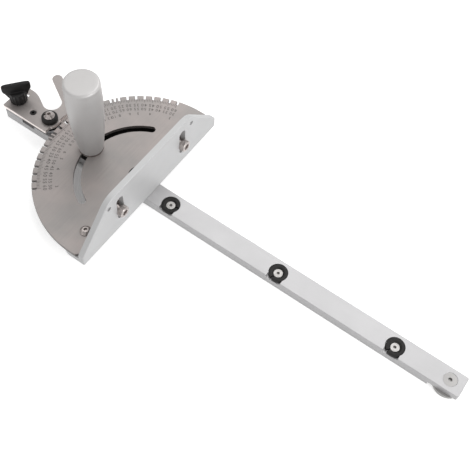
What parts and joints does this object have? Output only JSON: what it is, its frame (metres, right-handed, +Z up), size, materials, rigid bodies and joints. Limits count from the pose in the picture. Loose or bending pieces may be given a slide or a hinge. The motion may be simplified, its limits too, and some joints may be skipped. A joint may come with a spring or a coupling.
{
  "type": "miter gauge",
  "caption": "Table saw miter gauge: a slot bar with expansion discs, a notched half-round protractor head, a spring stop lever, a clamping handle and a low slotted fence.",
  "frame": {"origin": "on the head's pivot axis, at the underside of the bar", "axes": "+X along the bar to its front end, +Y across the bar on the side of the stop lever's finger, +Z up from the saw table"},
  "size_m": [0.4505, 0.176, 0.0998],
  "materials": {
    "bar_metal": "satin",
    "black_nylon": "satin",
    "bright_steel": "satin",
    "black_steel": "satin",
    "bush_brass": "satin",
    "plate_steel": "brushed",
    "fence_aluminium": "satin anodised",
    "handle_aluminium": "satin",
    "lever_steel": "brushed",
    "knob_plastic": "matt",
    "spring_steel": "bright"
  },
  "bodies": {
    "bar": {"miter_bar": "bar_metal", "t_slot_washer": "bright_steel", "t_slot_screw": "bright_steel", "pivot_bush": "bush_brass", "pivot_washer": "bright_steel", "pivot_screw": "black_steel", "lever_spacer": "bar_metal", "lever_bush": "black_nylon", "lever_collar": "black_nylon", "lever_pivot_screw": "bright_steel", "expansion_disc_1": "black_nylon", "expansion_screw_1": "bright_steel", "expansion_disc_2": "black_nylon", "expansion_screw_2": "bright_steel", "expansion_disc_3": "black_nylon", "expansion_screw_3": "bright_steel"},
    "head": {"protractor_plate": "plate_steel", "fence_bracket": "fence_aluminium", "plate_screw_left": "bright_steel", "plate_screw_right": "bright_steel"},
    "clamp_handle": {"handle": "handle_aluminium", "handle_washer": "bright_steel", "handle_stud": "bright_steel"},
    "lever": {"stop_lever": "lever_steel", "stop_tooth": "lever_steel", "tooth_screws": "bright_steel", "lever_grub_screw": "black_steel", "lever_spring": "spring_steel"},
    "knob": {"thumb_knob": "knob_plastic", "thumb_stud": "bright_steel"},
    "bolt_left": {"fence_bolt_left": "bright_steel", "fence_washer_left": "bright_steel", "fence_nut_left": "bright_steel"},
    "bolt_right": {"fence_bolt_right": "bright_steel", "fence_washer_right": "bright_steel", "fence_nut_right": "bright_steel"}
  },
  "joints": [
    {"name": "head_swivel", "type": "hinge", "parent": "bar", "child": "head", "pos_m": [0, 0, 0.016], "axis": [0, 0, 1], "range_deg": [-60, 60]},
    {"name": "handle_turn", "type": "hinge", "parent": "bar", "child": "clamp_handle", "pos_m": [-0.0511, 0, 0.05], "axis": [0, 0, 1], "continuous": true},
    {"name": "lever_swing", "type": "hinge", "parent": "bar", "child": "lever", "pos_m": [-0.0968, 0, 0.019], "axis": [0, 0, 1], "range_deg": [-5.3, 12]},
    {"name": "thumb_turn", "type": "hinge", "parent": "bar", "child": "knob", "pos_m": [-0.1322, 0, 0.03], "axis": [0, 0, 1], "continuous": true},
    {"name": "bolt_slide_left", "type": "slide", "parent": "head", "child": "bolt_left", "axis": [0, 0, 1], "range_m": [-0.0065, 0.0135]},
    {"name": "bolt_slide_right", "type": "slide", "parent": "head", "child": "bolt_right", "axis": [0, 0, 1], "range_m": [-0.0065, 0.0135]}
  ]
}
